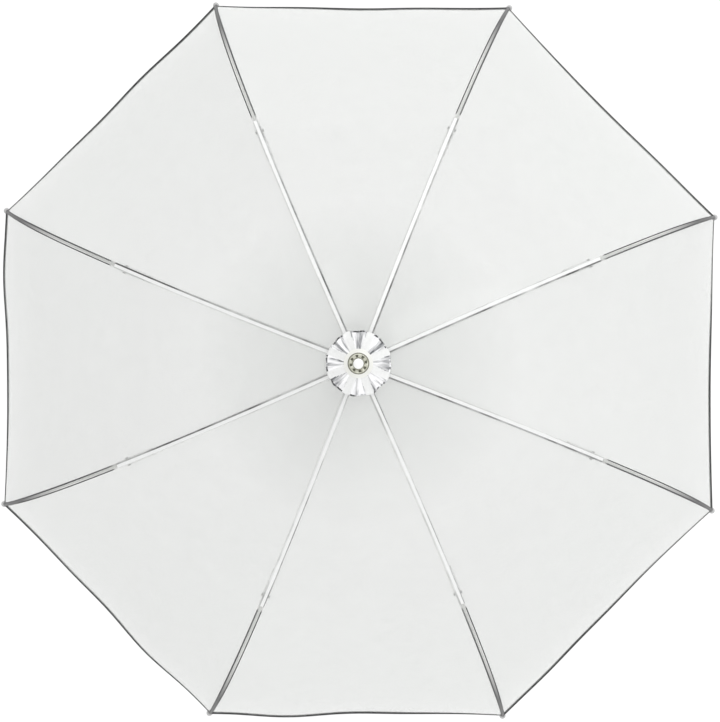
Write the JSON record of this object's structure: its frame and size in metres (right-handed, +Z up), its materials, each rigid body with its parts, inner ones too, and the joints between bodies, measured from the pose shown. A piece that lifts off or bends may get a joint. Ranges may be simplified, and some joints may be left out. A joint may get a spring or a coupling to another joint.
{
  "type": "clear dome umbrella",
  "caption": "Clear dome umbrella with bowed two-piece ribs, stretchers, a sliding runner and a straight grip, standing open.",
  "frame": {"origin": "middle of the grip, on the shaft's axis", "axes": "+Z up the shaft from the grip to the ferrule; +X at the middle of a film panel"},
  "size_m": [0.7938, 0.7938, 0.8978],
  "materials": {
    "film": "clear smooth film",
    "rib_steel": "white paint",
    "stretcher_steel": "white paint",
    "shaft_steel": "white paint",
    "joint_plastic": "moulded, slightly glossy",
    "rod_glass_fibre": "smooth glass fibre with a moulded end cap",
    "hub_plastic": "moulded",
    "cap_plastic": "translucent, slightly yellow",
    "white_plastic": "moulded, glossy",
    "handle_plastic": "moulded, satin",
    "wire": "drawn wire",
    "catch_steel": "spring steel"
  },
  "bodies": {
    "root": {"shaft_tube": "shaft_steel", "crown_notch": "hub_plastic", "crown_wire": "wire", "ferrule_tip": "white_plastic", "top_cap": "cap_plastic", "rosette": "film", "handle_grip": "handle_plastic", "handle_collar": "white_plastic"},
    "runner": {"runner": "white_plastic", "runner_wire": "wire"},
    "top_catch": {"top_catch": "catch_steel"},
    "lower_catch": {"lower_catch": "catch_steel"},
    "rib_1": {"inner_rib_1": "rib_steel", "rib_joint_1": "joint_plastic"},
    "outer_1": {"outer_rod_1": "rod_glass_fibre"},
    "stretcher_1": {"stretcher_1": "stretcher_steel"},
    "gore_1": {"panel_1_upper": "film"},
    "skirt_1": {"panel_1_lower": "film"},
    "rib_2": {"inner_rib_2": "rib_steel", "rib_joint_2": "joint_plastic"},
    "outer_2": {"outer_rod_2": "rod_glass_fibre"},
    "stretcher_2": {"stretcher_2": "stretcher_steel"},
    "gore_2": {"panel_2_upper": "film"},
    "skirt_2": {"panel_2_lower": "film"},
    "rib_3": {"inner_rib_3": "rib_steel", "rib_joint_3": "joint_plastic"},
    "outer_3": {"outer_rod_3": "rod_glass_fibre"},
    "stretcher_3": {"stretcher_3": "stretcher_steel"},
    "gore_3": {"panel_3_upper": "film"},
    "skirt_3": {"panel_3_lower": "film"},
    "rib_4": {"inner_rib_4": "rib_steel", "rib_joint_4": "joint_plastic"},
    "outer_4": {"outer_rod_4": "rod_glass_fibre"},
    "stretcher_4": {"stretcher_4": "stretcher_steel"},
    "gore_4": {"panel_4_upper": "film"},
    "skirt_4": {"panel_4_lower": "film"},
    "rib_5": {"inner_rib_5": "rib_steel", "rib_joint_5": "joint_plastic"},
    "outer_5": {"outer_rod_5": "rod_glass_fibre"},
    "stretcher_5": {"stretcher_5": "stretcher_steel"},
    "gore_5": {"panel_5_upper": "film"},
    "skirt_5": {"panel_5_lower": "film"},
    "rib_6": {"inner_rib_6": "rib_steel", "rib_joint_6": "joint_plastic"},
    "outer_6": {"outer_rod_6": "rod_glass_fibre"},
    "stretcher_6": {"stretcher_6": "stretcher_steel"},
    "gore_6": {"panel_6_upper": "film"},
    "skirt_6": {"panel_6_lower": "film"},
    "rib_7": {"inner_rib_7": "rib_steel", "rib_joint_7": "joint_plastic"},
    "outer_7": {"outer_rod_7": "rod_glass_fibre"},
    "stretcher_7": {"stretcher_7": "stretcher_steel"},
    "gore_7": {"panel_7_upper": "film"},
    "skirt_7": {"panel_7_lower": "film"},
    "rib_8": {"inner_rib_8": "rib_steel", "rib_joint_8": "joint_plastic"},
    "outer_8": {"outer_rod_8": "rod_glass_fibre"},
    "stretcher_8": {"stretcher_8": "stretcher_steel"},
    "gore_8": {"panel_8_upper": "film"},
    "skirt_8": {"panel_8_lower": "film"}
  },
  "joints": [
    {"name": "rib_1_fold", "type": "hinge", "parent": "root", "child": "rib_1", "pos_m": [0.00831, 0.00344, 0.78943], "axis": [-0.3827, 0.9239, 0], "range_deg": [0, 55.5]},
    {"name": "outer_1_flex", "type": "hinge", "parent": "rib_1", "child": "outer_1", "pos_m": [0.25009, 0.11, 0.62039], "axis": [-0.3827, 0.9239, 0], "range_deg": [-27.15, 0]},
    {"name": "stretcher_1_pivot", "type": "hinge", "parent": "rib_1", "child": "stretcher_1", "pos_m": [0.24111, 0.10626, 0.63045], "axis": [-0.3827, 0.9239, 0], "range_deg": [-111, 0]},
    {"name": "gore_1_fold", "type": "hinge", "parent": "root", "child": "gore_1", "pos_m": [0.00588, 0.00588, 0.78943], "axis": [-0.7071, 0.7071, 0], "range_deg": [0, 53.53], "deforming": ["panel_1_upper"]},
    {"name": "skirt_1_fold", "type": "hinge", "parent": "gore_1", "child": "skirt_1", "pos_m": [0.1756, 0.1756, 0.63565], "axis": [-0.7071, 0.7071, 0], "range_deg": [-26.84, 0], "deforming": ["panel_1_lower"]},
    {"name": "rib_2_fold", "type": "hinge", "parent": "root", "child": "rib_2", "pos_m": [0.00344, 0.00831, 0.78943], "axis": [-0.9239, 0.3827, 0], "range_deg": [0, 55.5]},
    {"name": "outer_2_flex", "type": "hinge", "parent": "rib_2", "child": "outer_2", "pos_m": [0.09905, 0.25462, 0.62039], "axis": [-0.9239, 0.3827, 0], "range_deg": [-27.15, 0]},
    {"name": "stretcher_2_pivot", "type": "hinge", "parent": "rib_2", "child": "stretcher_2", "pos_m": [0.09535, 0.24562, 0.63045], "axis": [-0.9239, 0.3827, 0], "range_deg": [-111, 0]},
    {"name": "gore_2_fold", "type": "hinge", "parent": "root", "child": "gore_2", "pos_m": [0, 0.00831, 0.78943], "axis": [-1, 0, 0], "range_deg": [0, 53.53], "deforming": ["panel_2_upper"]},
    {"name": "skirt_2_fold", "type": "hinge", "parent": "gore_2", "child": "skirt_2", "pos_m": [0, 0.24833, 0.63565], "axis": [-1, 0, 0], "range_deg": [-26.84, 0], "deforming": ["panel_2_lower"]},
    {"name": "rib_3_fold", "type": "hinge", "parent": "root", "child": "rib_3", "pos_m": [-0.00344, 0.00831, 0.78943], "axis": [-0.9239, -0.3827, 0], "range_deg": [0, 55.5]},
    {"name": "outer_3_flex", "type": "hinge", "parent": "rib_3", "child": "outer_3", "pos_m": [-0.11, 0.25009, 0.62039], "axis": [-0.9239, -0.3827, 0], "range_deg": [-27.15, 0]},
    {"name": "stretcher_3_pivot", "type": "hinge", "parent": "rib_3", "child": "stretcher_3", "pos_m": [-0.10626, 0.24111, 0.63045], "axis": [-0.9239, -0.3827, 0], "range_deg": [-111, 0]},
    {"name": "gore_3_fold", "type": "hinge", "parent": "root", "child": "gore_3", "pos_m": [-0.00588, 0.00588, 0.78943], "axis": [-0.7071, -0.7071, 0], "range_deg": [0, 53.53], "deforming": ["panel_3_upper"]},
    {"name": "skirt_3_fold", "type": "hinge", "parent": "gore_3", "child": "skirt_3", "pos_m": [-0.1756, 0.1756, 0.63565], "axis": [-0.7071, -0.7071, 0], "range_deg": [-26.84, 0], "deforming": ["panel_3_lower"]},
    {"name": "rib_4_fold", "type": "hinge", "parent": "root", "child": "rib_4", "pos_m": [-0.00831, 0.00344, 0.78943], "axis": [-0.3827, -0.9239, 0], "range_deg": [0, 55.5]},
    {"name": "outer_4_flex", "type": "hinge", "parent": "rib_4", "child": "outer_4", "pos_m": [-0.25462, 0.09905, 0.62039], "axis": [-0.3827, -0.9239, 0], "range_deg": [-27.15, 0]},
    {"name": "stretcher_4_pivot", "type": "hinge", "parent": "rib_4", "child": "stretcher_4", "pos_m": [-0.24562, 0.09535, 0.63045], "axis": [-0.3827, -0.9239, 0], "range_deg": [-111, 0]},
    {"name": "gore_4_fold", "type": "hinge", "parent": "root", "child": "gore_4", "pos_m": [-0.00831, 0, 0.78943], "axis": [0, -1, 0], "range_deg": [0, 53.53], "deforming": ["panel_4_upper"]},
    {"name": "skirt_4_fold", "type": "hinge", "parent": "gore_4", "child": "skirt_4", "pos_m": [-0.24833, 0, 0.63565], "axis": [0, -1, 0], "range_deg": [-26.84, 0], "deforming": ["panel_4_lower"]},
    {"name": "rib_5_fold", "type": "hinge", "parent": "root", "child": "rib_5", "pos_m": [-0.00831, -0.00344, 0.78943], "axis": [0.3827, -0.9239, 0], "range_deg": [0, 55.5]},
    {"name": "outer_5_flex", "type": "hinge", "parent": "rib_5", "child": "outer_5", "pos_m": [-0.25009, -0.11, 0.62039], "axis": [0.3827, -0.9239, 0], "range_deg": [-27.15, 0]},
    {"name": "stretcher_5_pivot", "type": "hinge", "parent": "rib_5", "child": "stretcher_5", "pos_m": [-0.24111, -0.10626, 0.63045], "axis": [0.3827, -0.9239, 0], "range_deg": [-111, 0]},
    {"name": "gore_5_fold", "type": "hinge", "parent": "root", "child": "gore_5", "pos_m": [-0.00588, -0.00588, 0.78943], "axis": [0.7071, -0.7071, 0], "range_deg": [0, 53.53], "deforming": ["panel_5_upper"]},
    {"name": "skirt_5_fold", "type": "hinge", "parent": "gore_5", "child": "skirt_5", "pos_m": [-0.1756, -0.1756, 0.63565], "axis": [0.7071, -0.7071, 0], "range_deg": [-26.84, 0], "deforming": ["panel_5_lower"]},
    {"name": "rib_6_fold", "type": "hinge", "parent": "root", "child": "rib_6", "pos_m": [-0.00344, -0.00831, 0.78943], "axis": [0.9239, -0.3827, 0], "range_deg": [0, 55.5]},
    {"name": "outer_6_flex", "type": "hinge", "parent": "rib_6", "child": "outer_6", "pos_m": [-0.09905, -0.25462, 0.62039], "axis": [0.9239, -0.3827, 0], "range_deg": [-27.15, 0]},
    {"name": "stretcher_6_pivot", "type": "hinge", "parent": "rib_6", "child": "stretcher_6", "pos_m": [-0.09535, -0.24562, 0.63045], "axis": [0.9239, -0.3827, 0], "range_deg": [-111, 0]},
    {"name": "gore_6_fold", "type": "hinge", "parent": "root", "child": "gore_6", "pos_m": [0, -0.00831, 0.78943], "axis": [1, 0, 0], "range_deg": [0, 53.53], "deforming": ["panel_6_upper"]},
    {"name": "skirt_6_fold", "type": "hinge", "parent": "gore_6", "child": "skirt_6", "pos_m": [0, -0.24833, 0.63565], "axis": [1, 0, 0], "range_deg": [-26.84, 0], "deforming": ["panel_6_lower"]},
    {"name": "rib_7_fold", "type": "hinge", "parent": "root", "child": "rib_7", "pos_m": [0.00344, -0.00831, 0.78943], "axis": [0.9239, 0.3827, 0], "range_deg": [0, 55.5]},
    {"name": "outer_7_flex", "type": "hinge", "parent": "rib_7", "child": "outer_7", "pos_m": [0.11, -0.25009, 0.62039], "axis": [0.9239, 0.3827, 0], "range_deg": [-27.15, 0]},
    {"name": "stretcher_7_pivot", "type": "hinge", "parent": "rib_7", "child": "stretcher_7", "pos_m": [0.10626, -0.24111, 0.63045], "axis": [0.9239, 0.3827, 0], "range_deg": [-111, 0]},
    {"name": "gore_7_fold", "type": "hinge", "parent": "root", "child": "gore_7", "pos_m": [0.00588, -0.00588, 0.78943], "axis": [0.7071, 0.7071, 0], "range_deg": [0, 53.53], "deforming": ["panel_7_upper"]},
    {"name": "skirt_7_fold", "type": "hinge", "parent": "gore_7", "child": "skirt_7", "pos_m": [0.1756, -0.1756, 0.63565], "axis": [0.7071, 0.7071, 0], "range_deg": [-26.84, 0], "deforming": ["panel_7_lower"]},
    {"name": "rib_8_fold", "type": "hinge", "parent": "root", "child": "rib_8", "pos_m": [0.00831, -0.00344, 0.78943], "axis": [0.3827, 0.9239, 0], "range_deg": [0, 55.5]},
    {"name": "outer_8_flex", "type": "hinge", "parent": "rib_8", "child": "outer_8", "pos_m": [0.25462, -0.09905, 0.62039], "axis": [0.3827, 0.9239, 0], "range_deg": [-27.15, 0]},
    {"name": "stretcher_8_pivot", "type": "hinge", "parent": "rib_8", "child": "stretcher_8", "pos_m": [0.24562, -0.09535, 0.63045], "axis": [0.3827, 0.9239, 0], "range_deg": [-111, 0]},
    {"name": "gore_8_fold", "type": "hinge", "parent": "root", "child": "gore_8", "pos_m": [0.00831, 0, 0.78943], "axis": [0, 1, 0], "range_deg": [0, 53.53], "deforming": ["panel_8_upper"]},
    {"name": "skirt_8_fold", "type": "hinge", "parent": "gore_8", "child": "skirt_8", "pos_m": [0.24833, 0, 0.63565], "axis": [0, 1, 0], "range_deg": [-26.84, 0], "deforming": ["panel_8_lower"]},
    {"name": "runner_pivot", "type": "hinge", "parent": "stretcher_1", "child": "runner", "pos_m": [0.00831, 0.00344, 0.47148], "axis": [-0.3827, 0.9239, 0], "range_deg": [0, 55.5]},
    {"name": "top_catch_press", "type": "slide", "parent": "root", "child": "top_catch", "axis": [-1, 0, 0], "range_m": [0, 0.0018], "stiffness_N_per_m": 400},
    {"name": "lower_catch_press", "type": "slide", "parent": "root", "child": "lower_catch", "axis": [-1, 0, 0], "range_m": [0, 0.0018], "stiffness_N_per_m": 400}
  ],
  "couplings": [
    {"joint": "outer_1_flex", "follows": "rib_1_fold", "ratio": -0.4891},
    {"joint": "stretcher_1_pivot", "follows": "rib_1_fold", "ratio": -2},
    {"joint": "gore_1_fold", "follows": "rib_1_fold", "ratio": 0.96445},
    {"joint": "skirt_1_fold", "follows": "rib_1_fold", "ratio": -0.48357},
    {"joint": "rib_2_fold", "follows": "rib_1_fold", "ratio": 1},
    {"joint": "outer_2_flex", "follows": "rib_1_fold", "ratio": -0.4891},
    {"joint": "stretcher_2_pivot", "follows": "rib_1_fold", "ratio": -2},
    {"joint": "gore_2_fold", "follows": "rib_1_fold", "ratio": 0.96445},
    {"joint": "skirt_2_fold", "follows": "rib_1_fold", "ratio": -0.48357},
    {"joint": "rib_3_fold", "follows": "rib_1_fold", "ratio": 1},
    {"joint": "outer_3_flex", "follows": "rib_1_fold", "ratio": -0.4891},
    {"joint": "stretcher_3_pivot", "follows": "rib_1_fold", "ratio": -2},
    {"joint": "gore_3_fold", "follows": "rib_1_fold", "ratio": 0.96445},
    {"joint": "skirt_3_fold", "follows": "rib_1_fold", "ratio": -0.48357},
    {"joint": "rib_4_fold", "follows": "rib_1_fold", "ratio": 1},
    {"joint": "outer_4_flex", "follows": "rib_1_fold", "ratio": -0.4891},
    {"joint": "stretcher_4_pivot", "follows": "rib_1_fold", "ratio": -2},
    {"joint": "gore_4_fold", "follows": "rib_1_fold", "ratio": 0.96445},
    {"joint": "skirt_4_fold", "follows": "rib_1_fold", "ratio": -0.48357},
    {"joint": "rib_5_fold", "follows": "rib_1_fold", "ratio": 1},
    {"joint": "outer_5_flex", "follows": "rib_1_fold", "ratio": -0.4891},
    {"joint": "stretcher_5_pivot", "follows": "rib_1_fold", "ratio": -2},
    {"joint": "gore_5_fold", "follows": "rib_1_fold", "ratio": 0.96445},
    {"joint": "skirt_5_fold", "follows": "rib_1_fold", "ratio": -0.48357},
    {"joint": "rib_6_fold", "follows": "rib_1_fold", "ratio": 1},
    {"joint": "outer_6_flex", "follows": "rib_1_fold", "ratio": -0.4891},
    {"joint": "stretcher_6_pivot", "follows": "rib_1_fold", "ratio": -2},
    {"joint": "gore_6_fold", "follows": "rib_1_fold", "ratio": 0.96445},
    {"joint": "skirt_6_fold", "follows": "rib_1_fold", "ratio": -0.48357},
    {"joint": "rib_7_fold", "follows": "rib_1_fold", "ratio": 1},
    {"joint": "outer_7_flex", "follows": "rib_1_fold", "ratio": -0.4891},
    {"joint": "stretcher_7_pivot", "follows": "rib_1_fold", "ratio": -2},
    {"joint": "gore_7_fold", "follows": "rib_1_fold", "ratio": 0.96445},
    {"joint": "skirt_7_fold", "follows": "rib_1_fold", "ratio": -0.48357},
    {"joint": "rib_8_fold", "follows": "rib_1_fold", "ratio": 1},
    {"joint": "outer_8_flex", "follows": "rib_1_fold", "ratio": -0.4891},
    {"joint": "stretcher_8_pivot", "follows": "rib_1_fold", "ratio": -2},
    {"joint": "gore_8_fold", "follows": "rib_1_fold", "ratio": 0.96445},
    {"joint": "skirt_8_fold", "follows": "rib_1_fold", "ratio": -0.48357},
    {"joint": "runner_pivot", "follows": "rib_1_fold", "ratio": 1}
  ]
}
